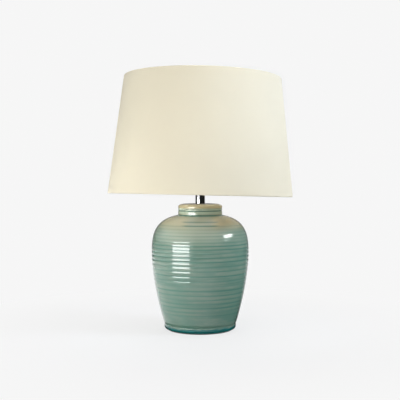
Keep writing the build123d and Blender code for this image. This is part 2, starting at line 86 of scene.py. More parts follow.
def add_bump(tree, shader, height, strength, distance):
    """Relief too fine for the mesh, in metres of distance."""
    bump = add_node(tree, "ShaderNodeBump", Strength=strength, Distance=distance)
    tree.links.new(height, bump.inputs["Height"])
    tree.links.new(bump.outputs["Normal"], shader.inputs["Normal"])


def shade_of(colour, factor):
    """The colour made lighter or darker."""
    return tuple(min(1.0, channel * factor) for channel in colour)


def mottled_finish(name, colour, roughness, tones, noise, band=(0.3, 0.7), metallic=0.0):
    """A finish whose colour wavers between two tones as a noise runs through the band."""
    finish, tree, shader = new_finish(name, colour, roughness)
    shader.inputs["Metallic"].default_value = metallic
    mottle = add_noise(tree, **noise)
    ramp = tree.nodes.new("ShaderNodeValToRGB")
    for element, position, tone in zip(ramp.color_ramp.elements, band, tones):
        element.position = position
        element.color = (*shade_of(colour, tone), 1)
    tree.links.new(mottle, ramp.inputs["Fac"])
    tree.links.new(ramp.outputs["Color"], shader.inputs["Base Color"])
    return finish, tree, shader, mottle


def finish_node(name, finish):
    """Gives a piece that keeps its own shape its finish."""
    slots = nodes[name].material_slots
    if not slots:
        nodes[name].data.materials.append(finish)
    for slot in slots:
        slot.material = finish


WOOL = {"scale": 900, "detail": 6}
felt, tree, shader, fibre = mottled_finish("felt", FELT_COLOUR, 0.95, (0.6, 1.7), WOOL)
add_bump(tree, shader, fibre, 0.6, 0.0004)
shader.inputs["Sheen Weight"].default_value = 0.25
finish_node("base_pad", felt)

# ---------------------------------------------------------------- jar
# The body is stoneware, thrown on a wheel with finger rings left in the wall, then dipped in one
# grey-green glaze. The glaze pools dark green in the rings and at the foot, thins to grey on the
# ridges, and breaks to tan on the shoulder and the mouth.
jar_low, jar_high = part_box("jar")
BELLY_RADIUS = jar_high.x
FOOT_Z = jar_low.z
MOUTH_Z = jar_high.z
FOOT_RADIUS = 0.0628
BEVEL_HEIGHT = 0.0050
BAND_RADIUS = 0.0680
BAND_HEIGHT = 0.0047
NOTCH_HEIGHT = 0.0016
NOTCH_DEPTH = 0.0002
HOLE_RADIUS = 0.0300
FLOOR_THICKNESS = 0.0080
WALL = 0.0070
BELLY_RISE = 0.1391
SHOULDER_SQUARENESS = 3.17
WAIST_RADIUS = 0.0686
TAPER_POWER = 1.64
NECK_RADIUS = 0.0418
NECK_HEIGHT = 0.0215
MOUTH_THICKNESS = 0.0080
LIP_WIDTH = 0.0120
LIP_HEIGHT = 0.0050
NECK_GROOVE_DROP = 0.0129
NECK_GROOVE_DEPTH = 0.0007
NECK_GROOVE_REACH = 0.0010
LIP_GROOVE_DROP = 0.0038
LIP_GROOVE_DEPTH = 0.0006
LIP_GROOVE_REACH = 0.0009
ROD_HOLE_RADIUS = 0.0054
RING_COUNT = 24
RING_CROWDING = 0.13
RING_WANDER = 0.0036
RING_WANDER_TURNS = 1.29
RING_WANDER_START = 0.28
LEAST_PRESS = 0.00006
BELLY_PRESS = 0.00050
BELLY_RING = 11
BELLY_RINGS_REACH = 5.2
LIGHT_RING = 7.5
LIGHT_RINGS_REACH = 1.1
LIGHT_SHARE = 0.50
UNEVEN_SHARE = 0.16
UNEVEN_TURN = 5.1
UNEVEN_START = 1
SHOULDER_BAND = 0.0067
PLAIN_FOOT = 0.0231
RIDGE_STEPS = 10
RIDGE_SQUARENESS = 2.3
JAR_STEPS = 224
GLAZE_POOL = (0.080, 0.205, 0.152)
GLAZE_BODY = (0.150, 0.262, 0.205)
GLAZE_THIN = (0.255, 0.325, 0.255)
# The pale shoulder and neck colours are partly painted light, lighter than their glaze.
GLAZE_PALE_AND_LIT = (0.440, 0.480, 0.370)
GLAZE_TAN = (0.660, 0.560, 0.320)
GLAZE_NECK_PALE_AND_LIT = (0.540, 0.630, 0.480)
GLAZE_FOOT = (0.006, 0.120, 0.112)

band_top_z = FOOT_Z + BEVEL_HEIGHT + BAND_HEIGHT
body_start_z = band_top_z + NOTCH_HEIGHT
belly_z = FOOT_Z + BELLY_RISE
neck_base_z = MOUTH_Z - NECK_HEIGHT
neck_share = (NECK_RADIUS / BELLY_RADIUS) ** SHOULDER_SQUARENESS
shoulder_rise = (neck_base_z - belly_z) / (1 - neck_share) ** (1 / SHOULDER_SQUARENESS)


def jar_radius(z, inset=0.0):
    """Smooth radius of the jar's wall at height z, drawn in by inset."""
    reach = BELLY_RADIUS - inset
    if z >= belly_z:
        rise = (z - belly_z) / (shoulder_rise - inset)
        return reach * (1 - rise**SHOULDER_SQUARENESS) ** (1 / SHOULDER_SQUARENESS)
    fall = (belly_z - z) / (belly_z - body_start_z)
    return reach - (BELLY_RADIUS - WAIST_RADIUS) * fall**TAPER_POWER


def shoulder_z(radius, inset=0.0):
    """Height at which the shoulder has drawn in to the radius."""
    share = (radius / (BELLY_RADIUS - inset)) ** SHOULDER_SQUARENESS
    return belly_z + (shoulder_rise - inset) * (1 - share) ** (1 / SHOULDER_SQUARENESS)


top_groove_z = neck_base_z - SHOULDER_BAND
bottom_groove_z = body_start_z + PLAIN_FOOT


def ring_z(index):
    """Height of one finger ring, counted from the shoulder down."""
    along = index / (RING_COUNT - 1)
    fall = (1 - RING_CROWDING) * along + RING_CROWDING * along**2
    wander = RING_WANDER * math.sin(2 * math.pi * (RING_WANDER_TURNS * along - RING_WANDER_START))
    return top_groove_z - (top_groove_z - bottom_groove_z) * fall + wander


def ring_depth(index):
    """Depth of one finger ring: deepest round the belly, and no two are pressed quite alike."""
    press = LEAST_PRESS + BELLY_PRESS * math.exp(-(((index - BELLY_RING) / BELLY_RINGS_REACH) ** 4))
    light_touch = LIGHT_SHARE * math.exp(-(((index - LIGHT_RING) / LIGHT_RINGS_REACH) ** 2))
    return press * (1 - light_touch) * (1 + UNEVEN_SHARE * math.sin(UNEVEN_TURN * index + UNEVEN_START))


def ridge(low_z, high_z, low_depth, high_depth):
    """Outline of the round ridge between two rings, from the lower ring up to the next."""
    points = []
    for step in range(RIDGE_STEPS):
        share = step / RIDGE_STEPS
        z = low_z + share * (high_z - low_z)
        depth = low_depth if share < 0.5 else high_depth
        points.append((jar_radius(z) - depth * abs(2 * share - 1) ** RIDGE_SQUARENESS, z))
    return points


def arc(centre, radius, start, end, steps):
    """Points round a centre in the outline's plane, from one angle to another in degrees."""
    turns = [math.radians(start + (end - start) * step / steps) for step in range(steps + 1)]
    return [(centre[0] + radius * math.cos(t), centre[1] + radius * math.sin(t)) for t in turns]


def turn_piece(name, outline, steps, closed=True):
    """Turns an outline of (radius, height) points about the lamp's axis, as on a wheel."""
    bpy.ops.object.select_all(action="DESELECT")
    start = Vector((outline[0][0], 0, outline[0][1]))
    bpy.ops.mesh.primitive_plane_add(size=0.001, location=start)
    piece = bpy.context.object
    piece.name = name
    bpy.ops.object.transform_apply(location=True, rotation=False, scale=False)
    bpy.ops.object.mode_set(mode="EDIT")
    bpy.ops.mesh.merge(type="CENTER")
    ends = list(outline[1:]) + ([outline[0]] if closed else [])
    for radius, z in ends:
        here = Vector((radius, 0, z))
        bpy.ops.mesh.extrude_region_move(TRANSFORM_OT_translate={"value": here - start})
        start = here
    bpy.ops.mesh.select_all(action="SELECT")
    bpy.ops.mesh.remove_doubles(threshold=1e-6)
    bpy.ops.mesh.spin(steps=steps, angle=2 * math.pi, center=(0, 0, 0), axis=(0, 0, 1))
    bpy.ops.mesh.select_all(action="SELECT")
    bpy.ops.mesh.remove_doubles(threshold=2e-6)
    bpy.ops.mesh.normals_make_consistent(inside=False)
    bpy.ops.object.mode_set(mode="OBJECT")
    bpy.ops.object.shade_smooth_by_angle(angle=math.radians(40))
    return piece


def dress(piece, finish, body, slot, *replaced):
    """Gives a finished piece its material and its place on the lamp."""
    piece.data.materials.clear()
    piece.data.materials.append(finish)
    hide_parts(*replaced)
    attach(piece, body)


outline = [(HOLE_RADIUS, FOOT_Z)]
bevel_top_z = FOOT_Z + BEVEL_HEIGHT
for across, up in arc((0, 0), 1, -90, 0, 10):
    outline.append((FOOT_RADIUS + across * (BAND_RADIUS - FOOT_RADIUS), bevel_top_z + up * BEVEL_HEIGHT))
BAND_EDGE = 0.0008
WAIST_EDGE = 0.0004
outline += [
    (BAND_RADIUS, band_top_z - BAND_EDGE),
    (BAND_RADIUS - NOTCH_DEPTH / 2, band_top_z),
    (BAND_RADIUS - NOTCH_DEPTH, band_top_z + NOTCH_HEIGHT / 2),
    (WAIST_RADIUS - WAIST_EDGE, body_start_z),
]
lowest_ring_z = ring_z(RING_COUNT - 1)
for step in range(1, 6):
    z = body_start_z + (lowest_ring_z - body_start_z) * step / 6
    outline.append((jar_radius(z), z))
for index in range(RING_COUNT - 1, 0, -1):
    outline += ridge(ring_z(index), ring_z(index - 1), ring_depth(index), ring_depth(index - 1))
highest_ring_z = ring_z(0)
outline.append((jar_radius(highest_ring_z) - ring_depth(0), highest_ring_z))
NECK_ROOM = 0.0012
for step in range(1, 8):
    z = highest_ring_z + (neck_base_z - NECK_ROOM - highest_ring_z) * step / 8
    depth = ring_depth(0) * (1 - step / 8) ** RIDGE_SQUARENESS
    outline.append((jar_radius(z) - depth, z))
# A soft hollow joins the shoulder to the neck. Two more finger rings run round the neck, and the
# lip above them is rolled over to a flat top.
NECK_HOLLOW = 0.0014
for across, up in arc((NECK_RADIUS + NECK_HOLLOW, neck_base_z + NECK_HOLLOW), NECK_HOLLOW, 250, 180, 7):
    outline.append((across, up))
neck_groove_z = MOUTH_Z - NECK_GROOVE_DROP
lip_z = MOUTH_Z - LIP_HEIGHT
lip_groove_z = lip_z - LIP_GROOVE_DROP
NECK_STEPS = 36
neck_start_z = outline[-1][1]
for step in range(1, NECK_STEPS):
    z = neck_start_z + (lip_z - neck_start_z) * step / NECK_STEPS
    pressed = NECK_GROOVE_DEPTH * math.exp(-(((z - neck_groove_z) / NECK_GROOVE_REACH) ** 2))
    pressed += LIP_GROOVE_DEPTH * math.exp(-(((z - lip_groove_z) / LIP_GROOVE_REACH) ** 2))
    outline.append((NECK_RADIUS - pressed, z))
for across, up in arc((0, 0), 1, 0, 90, 14):
    outline.append((NECK_RADIUS - LIP_WIDTH * (1 - across), lip_z + LIP_HEIGHT * up))
outline += [(ROD_HOLE_RADIUS, MOUTH_Z), (ROD_HOLE_RADIUS, MOUTH_Z - MOUTH_THICKNESS)]
CAVITY_STEPS = 12
CORNER_HEIGHT = 0.004
CORNER_WIDTH = 0.002
cavity_shoulder_z = shoulder_z(NECK_RADIUS - WALL, WALL)
cavity_floor_z = FOOT_Z + FLOOR_THICKNESS
outline.append((NECK_RADIUS - WALL, MOUTH_Z - MOUTH_THICKNESS))
for step in range(CAVITY_STEPS + 1):
    z = cavity_shoulder_z + (cavity_floor_z + CORNER_HEIGHT - cavity_shoulder_z) * step / CAVITY_STEPS
    outline.append((jar_radius(max(z, body_start_z), WALL), z))
outline += [(BAND_RADIUS - WALL - CORNER_WIDTH, cavity_floor_z), (HOLE_RADIUS, cavity_floor_z)]
jar = turn_piece("jar_body", outline, JAR_STEPS)

# The cable hole is bored at the back, square to the wall, which leans out by its slope there.
bush_low, bush_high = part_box("cable_grommet")
bush_centre = (bush_low + bush_high) / 2
WALL_SLOPE = math.radians(16.06)
CABLE_HOLE_RADIUS = 0.0062
DRILL_LENGTH = 0.040
bpy.ops.object.select_all(action="DESELECT")
bpy.ops.mesh.primitive_cylinder_add(
    vertices=64, radius=CABLE_HOLE_RADIUS, depth=DRILL_LENGTH, location=bush_centre,
    rotation=(math.radians(90) + WALL_SLOPE, 0, 0),
)
drill = bpy.context.object
bpy.context.view_layer.objects.active = jar
cut = jar.modifiers.new("cable_hole", "BOOLEAN")
cut.operation = "DIFFERENCE"
cut.object = drill
bpy.ops.object.modifier_apply(modifier=cut.name)
bpy.data.objects.remove(drill)

# How thin the glaze lies: 0 where it pools in a ring or below the neck, 1 on top of a ridge.
ring_heights = [ring_z(index) for index in range(RING_COUNT)]
ring_heights += [neck_groove_z, lip_groove_z]
POOL_REACH = 0.0013
CREASE_REACH = 0.0021
SHOULDER_RINGS = range(2, 6)
SHOULDER_FILL = 0.5
FILL = 0.75
FILL_SWING = 0.25
FILL_TURN = 1.9
pools = []
for index, z in enumerate(ring_heights):
    filled = FILL + FILL_SWING * math.sin(FILL_TURN * index)
    pools.append((z, filled * (SHOULDER_FILL if index in SHOULDER_RINGS else 1.0)))
thickness = jar.data.attributes.new("glaze_thin", "FLOAT", "POINT")
for vertex in jar.data.vertices:
    pooled = max(depth * math.exp(-(((vertex.co.z - z) / POOL_REACH) ** 2)) for z, depth in pools)
    radius = math.hypot(vertex.co.x, vertex.co.y)
    from_crease = math.hypot(radius - NECK_RADIUS - NECK_HOLLOW / 2, vertex.co.z - neck_base_z)
    thickness.data[vertex.index].value = 1 - max(pooled, math.exp(-((from_crease / CREASE_REACH) ** 2)))

glaze, tree, shader = new_finish("glaze", GLAZE_BODY, 0.09)
thin = add_node(tree, "ShaderNodeAttribute", attribute_name="glaze_thin").outputs["Fac"]


def mix(first, second, factor):
    """Mixes two colours, each a socket or plain numbers, by a socket."""
    tree = factor.id_data
    node = tree.nodes.new("ShaderNodeMix")
    node.data_type = "RGBA"
    sockets = {entry.identifier: entry for entry in [*node.inputs, *node.outputs]}
    for name, value in (("A_Color", first), ("B_Color", second), ("Factor_Float", factor)):
        if hasattr(value, "links"):
            tree.links.new(value, sockets[name])
        else:
            sockets[name].default_value = (*value, 1)
    return sockets["Result_Color"]


def measure(source, low, high, to_low=0.0, to_high=1.0):
    """Maps a socket from one span to another, held at both ends, with a soft start and stop."""
    spans = {"From_Min": low, "From_Max": high, "To_Min": to_low, "To_Max": to_high}
    tree = source.id_data
    node = add_node(tree, "ShaderNodeMapRange", interpolation_type="SMOOTHSTEP", **spans)
    tree.links.new(source, node.inputs["Value"])
    return node.outputs["Result"]


def combine(first, second, operation):
    """Puts a socket together with another socket or a number."""
    tree = first.id_data
    node = add_node(tree, "ShaderNodeMath", operation=operation)
    tree.links.new(first, node.inputs[0])
    if hasattr(second, "links"):
        tree.links.new(second, node.inputs[1])
    else:
        node.inputs[1].default_value = second
    return node.outputs["Value"]


def multiply(first, second):
    """The product of a socket with another socket or a number."""
    return combine(first, second, "MULTIPLY")


def object_place(tree):
    """The X, Y and Z of a point on the piece, as sockets, in metres."""
    place = tree.nodes.new("ShaderNodeTexCoord")
    split = tree.nodes.new("ShaderNodeSeparateXYZ")
    tree.links.new(place.outputs["Object"], split.inputs["Vector"])
    return split.outputs["X"], split.outputs["Y"], split.outputs["Z"]


side, _, height = object_place(tree)
clouds = add_noise(tree, 16, detail=3, stretch=(1, 1, 3))
streaks = add_noise(tree, 60, detail=4, stretch=(1, 1, 5))
speckle = add_noise(tree, 700, detail=2)
beside = combine(side, 0.0, "ABSOLUTE")
# On the shoulder the glaze has drained out of the rings at the sides, and lies in them in front.
DRAIN_SIDE = (0.020, 0.040)
DRAIN_HEIGHT = (0.196, 0.202)
DRAIN_TOP = (neck_base_z, neck_base_z - 0.0020)
drained = multiply(measure(beside, *DRAIN_SIDE, 0.0, 0.9), measure(height, *DRAIN_HEIGHT))
thin = combine(thin, multiply(drained, measure(height, *DRAIN_TOP)), "MAXIMUM")
uneven = multiply(thin, measure(clouds, 0.3, 0.7, 0.55, 1.15))
colour = mix(GLAZE_POOL, GLAZE_BODY, measure(uneven, 0.0, 0.55))
thinning = multiply(measure(uneven, 0.55, 1.1), measure(streaks, 0.3, 0.7, 0.4, 0.85))
colour = mix(colour, GLAZE_THIN, thinning)
# Finer marks of the fingers and the rib run round between the rings.
marks = add_noise(tree, 9, detail=5, stretch=(1, 1, 42))
colour = mix(colour, GLAZE_POOL, measure(marks, 0.47, 0.68, 0.0, 0.45))
# Lower down the green darkens towards the foot.
DEEPENING_HEIGHT = (0.130, 0.020)
colour = mix(colour, shade_of(GLAZE_POOL, 0.85), measure(height, *DEEPENING_HEIGHT, 0.0, 0.40))
# Above the belly it is thin and pale, and lighter still with painted light, most of all in front.
PALE_HEIGHT = (0.150, 0.190)
PALE_RIGHT = (0.015, 0.065)
PALE_LEFT = (-0.045, -0.080)
pale = multiply(measure(height, *PALE_HEIGHT, 0.0, 0.85), thin)
pale = multiply(pale, measure(side, *PALE_RIGHT, 1.0, 0.40))
pale = multiply(pale, measure(side, *PALE_LEFT, 1.0, 0.50))
colour = mix(colour, GLAZE_PALE_AND_LIT, pale)
# On the shoulder the clay shows through as tan, more at the sides than in front.
TAN_HEIGHT = (0.188, 0.208)
TAN_BESIDE = (0.014, 0.034)
TAN_LEFT_TO_RIGHT = (-0.05, 0.03)
tan = multiply(measure(height, *TAN_HEIGHT), measure(clouds, 0.30, 0.55, 0.70, 1.0))
tan = multiply(tan, measure(thin, 0.1, 0.9, 0.15, 1.0))
tan = multiply(tan, measure(beside, *TAN_BESIDE, 0.25, 1.0))
tan = multiply(tan, measure(side, *TAN_LEFT_TO_RIGHT, 0.60, 1.0))
colour = mix(colour, GLAZE_TAN, tan)
# The neck is pale green with green rings, made lighter by painted light, and the mouth's rim is tan.
NECK_START = (neck_base_z + 0.0010, neck_base_z + 0.0040)
NECK_RINGS_START = (0.212, 0.217)
RIM_START = (MOUTH_Z - 0.0100, MOUTH_Z - 0.0060)
colour = mix(colour, GLAZE_NECK_PALE_AND_LIT, measure(height, *NECK_START, 0.0, 0.85))
neck_pools = multiply(measure(height, *NECK_RINGS_START), measure(thin, 0.75, 0.0))
colour = mix(colour, GLAZE_POOL, neck_pools)
colour = mix(colour, GLAZE_TAN, measure(height, *RIM_START))
# At the foot the glaze has run into a dark teal roll with an uneven upper edge.
RUN_WANDER = 0.0012
FOOT_ROLL = (FOOT_Z + 0.0062, FOOT_Z + 0.0096)
run_down = combine(height, measure(streaks, 0.3, 0.7, -RUN_WANDER, RUN_WANDER), "ADD")
colour = mix(GLAZE_FOOT, colour, measure(run_down, *FOOT_ROLL))
colour = mix(colour, shade_of(GLAZE_POOL, 0.5), measure(speckle, 0.66, 0.80, 0.0, 0.25))
tree.links.new(colour, shader.inputs["Base Color"])
shader.inputs["Coat Weight"].default_value = 0.6
shader.inputs["Coat Roughness"].default_value = 0.03
add_bump(tree, shader, add_noise(tree, 45, detail=3, stretch=(1, 1, 2.5)), 0.22, 0.0008)
dress(jar, glaze, "base", "glaze", "jar")

# ---------------------------------------------------------------- cable bush
# A black rubber bush, pushed into the hole at the back of the foot, keeps the glaze's edge off
# the flex. The washer between the glaze and the chrome tube is of the same rubber.
RUBBER_COLOUR = (0.016, 0.016, 0.017)
GRAIN = {"scale": 1200, "detail": 3}
rubber, tree, shader, grain = mottled_finish(
    "black_rubber", RUBBER_COLOUR, 0.55, (0.8, 1.4), GRAIN, band=(0.35, 0.65)
)
add_bump(tree, shader, grain, 0.3, 0.0001)
finish_node("cable_grommet", rubber)
finish_node("seat_washer", rubber)

# ---------------------------------------------------------------- rod, nut and washer
# The hollow threaded rod is zinc-plated steel. It runs from the nut inside the jar's neck up into
# the lampholder, and draws the whole stem together. The holder's lock screw is plated alike.
ZINC_COLOUR = (0.52, 0.52, 0.50)
SPANGLE = {"scale": 350, "detail": 3}
zinc = mottled_finish(
    "zinc_plate", ZINC_COLOUR, 0.36, (0.82, 1.12), SPANGLE, band=(0.35, 0.65), metallic=1.0
)[0]
for name in ("stem_rod", "inner_washer", "inner_nut", "cap_lock_screw"):
    finish_node(name, zinc)

# ---------------------------------------------------------------- chrome tube
# A cut length of chromed steel tube stands between the jar and the lampholder and hides the rod.
# Its ends are rolled smooth.
CHROME_COLOUR = (0.78, 0.79, 0.80)
tube_low, tube_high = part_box("stem_tube")
TUBE_RADIUS = tube_high.x
TUBE_WALL = 0.0010
TUBE_END = 0.0003
outer = [
    (TUBE_RADIUS - TUBE_WALL, tube_low.z + TUBE_END),
    (TUBE_RADIUS - TUBE_WALL + TUBE_END, tube_low.z),
    (TUBE_RADIUS - TUBE_END, tube_low.z),
    (TUBE_RADIUS, tube_low.z + TUBE_END),
    (TUBE_RADIUS, tube_high.z - TUBE_END),
    (TUBE_RADIUS - TUBE_END, tube_high.z),
    (TUBE_RADIUS - TUBE_WALL + TUBE_END, tube_high.z),
    (TUBE_RADIUS - TUBE_WALL, tube_high.z - TUBE_END),
]
tube = turn_piece("chrome_tube", outer, 96)
HAZE = {"scale": 220, "detail": 4, "stretch": (1, 1, 0.2)}
chrome = mottled_finish("chrome", CHROME_COLOUR, 0.06, (0.96, 1.02), HAZE, band=(0.4, 0.6), metallic=1.0)[0]
dress(tube, chrome, "base", "chrome", "stem_tube")

# ---------------------------------------------------------------- lampholder cap and push bar
# Both are moulded in white plastic. The bar slides through the cap's two windows and works the
# switch; it carries the brass bridge that joins the two fixed contacts. The terminals are brass too.
PLASTIC_COLOUR = (0.74, 0.73, 0.69)
BRASS_COLOUR = (0.72, 0.52, 0.24)
FLOW = {"scale": 30, "detail": 3}
plastic, tree, shader, _ = mottled_finish("white_plastic", PLASTIC_COLOUR, 0.32, (0.95, 1.03), FLOW)
add_bump(tree, shader, add_noise(tree, 900, detail=2), 0.15, 0.0001)
shader.inputs["Subsurface Weight"].default_value = 0.05
for name in ("holder_cap", "switch_bar"):
    finish_node(name, plastic)

TARNISH = {"scale": 120, "detail": 4}
brass = mottled_finish("brass", BRASS_COLOUR, 0.3, (0.72, 1.08), TARNISH, metallic=1.0)[0]
for name in ("switch_contact", "fixed_contacts", "terminal_screws", "centre_contact"):
    finish_node(name, brass)

# ---------------------------------------------------------------- lampholder insert
# A glazed porcelain cup that stands the bulb's heat. Its flange is clamped between cap and skirt,
# and its floor carries the terminals and the centre contact.
PORCELAIN_COLOUR = (0.74, 0.72, 0.66)
CLAY = {"scale": 140, "detail": 4}
porcelain, tree, shader, clay = mottled_finish(
    "porcelain", PORCELAIN_COLOUR, 0.3, (0.93, 1.03), CLAY, band=(0.35, 0.65)
)
add_bump(tree, shader, clay, 0.2, 0.0002)
finish_node("holder_insert", porcelain)

# ---------------------------------------------------------------- screw shell
# A shell of thin brass with the rolled thread of a household bulb, pressed into the porcelain cup.
# It holds the bulb and is one of its two contacts.
shell_low, shell_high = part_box("screw_shell")
SCREW_PITCH = 0.00362
SCREW_SWELL = 0.00045
SHELL_WALL = 0.0004


def rolled_outline(radius, low_z, high_z, pitch, swell, wall, steps_per_turn):
    """Closed outline of a thin wall with round waves, which reach just to the radius."""
    count = max(2, round((high_z - low_z) / pitch * steps_per_turn))
    heights = [low_z + (high_z - low_z) * step / count for step in range(count + 1)]
    waves = [swell * (1 - math.cos(2 * math.pi * (z - low_z) / pitch)) / 2 for z in heights]
    outside = [(radius - wave, z) for wave, z in zip(waves, heights)]
    inside = [(r - wall, z) for r, z in reversed(outside)]
    return outside + inside


shell_outline = rolled_outline(
    shell_high.x, shell_low.z, shell_high.z, SCREW_PITCH, SCREW_SWELL, SHELL_WALL, 8
)
shell = turn_piece("threaded_shell", shell_outline, 72)
dress(shell, brass, "base", "brass_contacts", "screw_shell")

# ---------------------------------------------------------------- lampholder skirt
# The moulded skirt screws down over the cap and clamps the insert. The shade rests on its flange,
# and the ring runs on the coarse thread above it.
skirt_low, skirt_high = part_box("holder_skirt")
SKIRT_FLANGE_RADIUS = skirt_high.x
SKIRT_SEAT_Z = skirt_low.z + 0.0133
SKIRT_FLANGE_THICKNESS = 0.0028
SKIRT_GRIP_RADIUS = 0.0210
SKIRT_THREAD_RADIUS = 0.0196
SKIRT_THREAD_PITCH = 0.0025
SKIRT_THREAD_DEPTH = 0.0009
SKIRT_BORE_RADIUS = 0.0170
SKIRT_FOOT_RADIUS = 0.0180
SKIRT_CLAMP_Z = skirt_low.z + 0.0085
SKIRT_LIP_RADIUS = 0.0150
SKIRT_LIP = 0.0025
GRIP_RIB_COUNT = 36
GRIP_RIB_DEPTH = 0.0006
GRIP_GROOVE_START = 0.45
GRIP_FOOT_EDGE = 0.0006
GRIP_CORNER = 0.0004
FLANGE_EDGE = 0.0005
THREAD_START = 0.0012
THREAD_END = 0.0015
MOUTH_EDGE = 0.0008

flange_low_z = SKIRT_SEAT_Z - SKIRT_FLANGE_THICKNESS
thread_root = SKIRT_THREAD_RADIUS - SKIRT_THREAD_DEPTH
skirt_outline = [
    (SKIRT_FOOT_RADIUS, skirt_low.z),
    (SKIRT_GRIP_RADIUS - FLANGE_EDGE, skirt_low.z),
    (SKIRT_GRIP_RADIUS, skirt_low.z + GRIP_FOOT_EDGE),
    (SKIRT_GRIP_RADIUS, flange_low_z - GRIP_CORNER),
    (SKIRT_GRIP_RADIUS + GRIP_CORNER, flange_low_z),
    (SKIRT_FLANGE_RADIUS - FLANGE_EDGE, flange_low_z),
    (SKIRT_FLANGE_RADIUS, flange_low_z + FLANGE_EDGE),
    (SKIRT_FLANGE_RADIUS, SKIRT_SEAT_Z - FLANGE_EDGE),
    (SKIRT_FLANGE_RADIUS - FLANGE_EDGE, SKIRT_SEAT_Z),
    (thread_root, SKIRT_SEAT_Z),
]
thread_start_z = SKIRT_SEAT_Z + THREAD_START
thread_turns = int((skirt_high.z - THREAD_END - thread_start_z) / SKIRT_THREAD_PITCH)
for turn in range(thread_turns):
    for quarter, radius in enumerate((thread_root, SKIRT_THREAD_RADIUS, SKIRT_THREAD_RADIUS, thread_root)):
        z = thread_start_z + turn * SKIRT_THREAD_PITCH + quarter / 4 * SKIRT_THREAD_PITCH
        skirt_outline.append((radius, z))
skirt_outline += [
    (thread_root, skirt_high.z - MOUTH_EDGE),
    (thread_root - MOUTH_EDGE, skirt_high.z),
    (SKIRT_LIP_RADIUS, skirt_high.z),
    (SKIRT_LIP_RADIUS, skirt_high.z - SKIRT_LIP),
    (SKIRT_BORE_RADIUS, skirt_high.z - SKIRT_LIP),
    (SKIRT_BORE_RADIUS, SKIRT_CLAMP_Z),
    (SKIRT_FOOT_RADIUS, SKIRT_CLAMP_Z),
]
skirt = turn_piece("threaded_skirt", skirt_outline, 4 * GRIP_RIB_COUNT)
# Every other pair of the grip's columns is drawn in, so that upright ribs stand between them.
for vertex in skirt.data.vertices:
    across = math.hypot(vertex.co.x, vertex.co.y)
    turn = math.atan2(vertex.co.y, vertex.co.x) / (2 * math.pi) * GRIP_RIB_COUNT
    on_grip = abs(across - SKIRT_GRIP_RADIUS) < 1e-4 and skirt_low.z < vertex.co.z < flange_low_z
    if on_grip and (turn % 1) > GRIP_GROOVE_START:
        vertex.co.x *= (SKIRT_GRIP_RADIUS - GRIP_RIB_DEPTH) / SKIRT_GRIP_RADIUS
        vertex.co.y *= (SKIRT_GRIP_RADIUS - GRIP_RIB_DEPTH) / SKIRT_GRIP_RADIUS
dress(skirt, plastic, "base", "white_plastic", "holder_skirt")

# ---------------------------------------------------------------- bulb
# An opal glass globe bulb: the glass is blown in one piece and cemented into a rolled metal cap,
# with a dark glass button that holds the foot contact.
OPAL_COLOUR = (0.80, 0.79, 0.75)
BULB_METAL_COLOUR = (0.66, 0.66, 0.65)
INSULATOR_COLOUR = (0.012, 0.012, 0.015)
MILK = {"scale": 25, "detail": 2}
opal, _, shader, _ = mottled_finish("opal_glass", OPAL_COLOUR, 0.16, (0.97, 1.03), MILK)
shader.inputs["Coat Weight"].default_value = 0.6
shader.inputs["Coat Roughness"].default_value = 0.05
shader.inputs["Subsurface Weight"].default_value = 0.2
shader.inputs["Subsurface Scale"].default_value = 0.004
finish_node("bulb_glass", opal)

CAP_NECK_HEIGHT = 0.004
CAP_RIM_HEIGHT = 0.0030
cap_low, cap_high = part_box("bulb_cap")
cap_outline = rolled_outline(
    cap_high.x, cap_low.z, cap_high.z - CAP_NECK_HEIGHT, SCREW_PITCH, SCREW_SWELL, SHELL_WALL, 8
)
middle = len(cap_outline) // 2
cap_outline[middle:middle] = [
    (cap_high.x, cap_high.z - CAP_RIM_HEIGHT),
    (cap_high.x, cap_high.z),
    (cap_high.x - SHELL_WALL, cap_high.z),
    (cap_high.x - SHELL_WALL, cap_high.z - CAP_RIM_HEIGHT),
]
bulb_cap = turn_piece("rolled_bulb_cap", cap_outline, 72)
ROLLING = {"scale": 160, "detail": 3, "stretch": (1, 1, 4)}
bulb_metal = mottled_finish("bulb_metal", BULB_METAL_COLOUR, 0.28, (0.85, 1.08), ROLLING, metallic=1.0)[0]
dress(bulb_cap, bulb_metal, "bulb", "bulb_metal", "bulb_cap")
finish_node("bulb_contact", bulb_metal)

SWIRL = {"scale": 300, "detail": 2}
insulator = mottled_finish("dark_insulator", INSULATOR_COLOUR, 0.12, (0.8, 1.8), SWIRL)[0]
finish_node("bulb_insulator", insulator)

# ---------------------------------------------------------------- shade ring
# A moulded ring with finger notches that screws down on the skirt's thread and keeps the shade's
# gallery on its seat.
finish_node("shade_ring", plastic)

# ---------------------------------------------------------------- wire frame of the shade
# Two hoops and three arms of steel wire, welded to a pressed gallery and powder coated white
# before the shade is glued on.
WIRE_COLOUR = (0.72, 0.71, 0.67)
ORANGE_PEEL = {"scale": 1500, "detail": 2}
wire, tree, shader, orange_peel = mottled_finish(
    "powder_coat", WIRE_COLOUR, 0.45, (0.94, 1.03), ORANGE_PEEL, band=(0.35, 0.65)
)
add_bump(tree, shader, orange_peel, 0.3, 0.00006)
for name in ("gallery_ring", "spider_arms", "top_ring", "bottom_ring"):
    finish_node(name, wire)

# ---------------------------------------------------------------- shade liner
# The stiff white film that the cloth is laminated to. It gives the shade its cone and spreads the
# bulb's light.
LINER_COLOUR = (0.80, 0.78, 0.72)
FIBRES = {"scale": 400, "detail": 4}
liner = mottled_finish("liner_film", LINER_COLOUR, 0.5, (0.96, 1.02), FIBRES, band=(0.35, 0.65))[0]
finish_node("shade_liner", liner)

